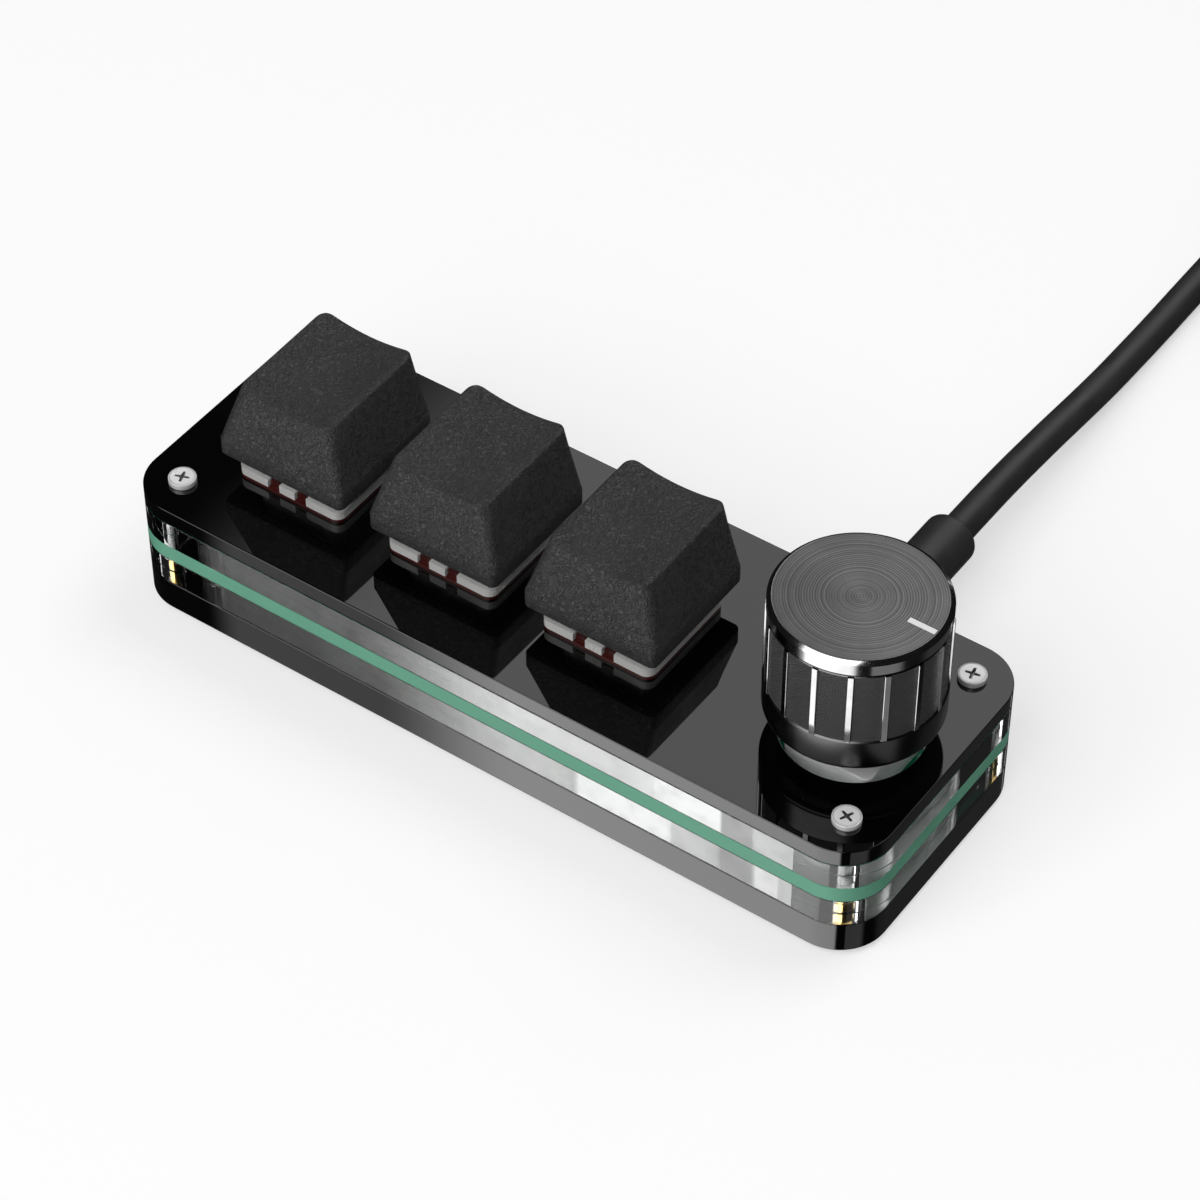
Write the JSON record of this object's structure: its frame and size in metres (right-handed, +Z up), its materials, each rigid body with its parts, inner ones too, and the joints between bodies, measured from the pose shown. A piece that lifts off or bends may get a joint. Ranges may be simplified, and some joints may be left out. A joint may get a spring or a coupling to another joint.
{
  "type": "macro keypad with push dial",
  "caption": "Small desk keypad of stacked plates and clear sheets, with sprung keys in a row, a ribbed push-and-turn dial at one end and a coiled plug-in cable.",
  "frame": {"origin": "on the table, under the middle of the case's outline", "axes": "+X along the row of keys towards the dial, +Y to the back where the cable leaves, +Z up"},
  "size_m": [0.1458, 0.1713, 0.038],
  "materials": {
    "black_acrylic": "polished black acrylic sheet",
    "clear_acrylic": "polished clear acrylic sheet",
    "board_green": "satin glass-fibre board",
    "screw_steel": "bright plated steel",
    "brass": "turned brass",
    "foot_rubber": "matt rubber",
    "bright_steel": "bright stamped sheet steel",
    "black_plastic": "satin black moulding",
    "chip_plastic": "matt black resin with tinned legs",
    "part_ceramic": "small ceramic parts",
    "housing_red": "dark red moulding",
    "housing_milky": "milky clear moulding",
    "stem_red": "red moulding",
    "spring_steel": "drawn spring wire",
    "contact_metal": "stamped contact strip",
    "cap_black": "matt black moulding with a fine leather grain",
    "zinc": "die-cast zinc",
    "rotor_plastic": "natural moulding",
    "dial_black": "black anodised aluminium, ribbed and knurled",
    "disc_grey": "spun anodised aluminium",
    "pointer_white": "white filled line",
    "cable_black": "matt black cable jacket",
    "tie_fabric": "woven hook-and-loop tie",
    "tongue_white": "white moulding"
  },
  "bodies": {
    "case": {"bottom_plate": "black_acrylic", "lower_clear_frame": "clear_acrylic", "circuit_board": "board_green", "upper_clear_frame": "clear_acrylic", "top_plate": "black_acrylic", "top_screws": "screw_steel", "bottom_screws": "screw_steel", "brass_standoffs": "brass", "rubber_feet": "foot_rubber", "usb_socket_shell": "bright_steel", "usb_socket_tongue": "black_plastic", "controller_chip": "chip_plastic", "board_parts": "part_ceramic", "switch_1_lower_housing": "housing_red", "switch_1_upper_housing": "housing_milky", "switch_1_spring": "spring_steel", "switch_1_contacts": "contact_metal", "switch_2_lower_housing": "housing_red", "switch_2_upper_housing": "housing_milky", "switch_2_spring": "spring_steel", "switch_2_contacts": "contact_metal", "switch_3_lower_housing": "housing_red", "switch_3_upper_housing": "housing_milky", "switch_3_spring": "spring_steel", "switch_3_contacts": "contact_metal", "encoder_base": "black_plastic", "encoder_can": "bright_steel", "encoder_neck": "zinc", "encoder_pins": "spring_steel", "encoder_dome": "spring_steel", "usb_plug_shell": "bright_steel", "usb_plug_grip": "cable_black", "usb_cord": "cable_black", "usb_cord_coil": "cable_black", "usb_cord_tail": "cable_black", "cable_tie": "tie_fabric", "far_plug_grip": "cable_black", "far_plug_shell": "bright_steel", "far_plug_tongue": "tongue_white"},
    "key_1": {"keycap_1": "cap_black", "switch_1_stem": "stem_red"},
    "key_2": {"keycap_2": "cap_black", "switch_2_stem": "stem_red"},
    "key_3": {"keycap_3": "cap_black", "switch_3_stem": "stem_red"},
    "plunger": {"encoder_plunger": "rotor_plastic"},
    "dial": {"encoder_shaft": "zinc", "dial_shell": "dial_black", "dial_disc": "disc_grey", "dial_pointer": "pointer_white", "dial_core": "black_plastic"},
    "rotor": {"encoder_rotor": "rotor_plastic"}
  },
  "joints": [
    {"name": "key_1_press", "type": "slide", "parent": "case", "child": "key_1", "axis": [0, 0, -1], "range_m": [0, 0.0036], "stiffness_N_per_m": 75, "springref_m": -0.004, "deforming": ["switch_1_spring"]},
    {"name": "key_2_press", "type": "slide", "parent": "case", "child": "key_2", "axis": [0, 0, -1], "range_m": [0, 0.0036], "stiffness_N_per_m": 75, "springref_m": -0.004, "deforming": ["switch_2_spring"]},
    {"name": "key_3_press", "type": "slide", "parent": "case", "child": "key_3", "axis": [0, 0, -1], "range_m": [0, 0.0036], "stiffness_N_per_m": 75, "springref_m": -0.004, "deforming": ["switch_3_spring"]},
    {"name": "dial_press", "type": "slide", "parent": "case", "child": "plunger", "axis": [0, 0, -1], "range_m": [0, 0.0005], "stiffness_N_per_m": 600, "springref_m": -0.003},
    {"name": "dial_turn", "type": "hinge", "parent": "plunger", "child": "dial", "pos_m": [0.03985, -0.00085, 0.03], "axis": [0, 0, 1], "continuous": true},
    {"name": "rotor_turn", "type": "hinge", "parent": "case", "child": "rotor", "pos_m": [0.03985, -0.00085, 0.0139], "axis": [0, 0, 1], "continuous": true}
  ],
  "couplings": [
    {"joint": "rotor_turn", "follows": "dial_turn", "ratio": 1}
  ]
}
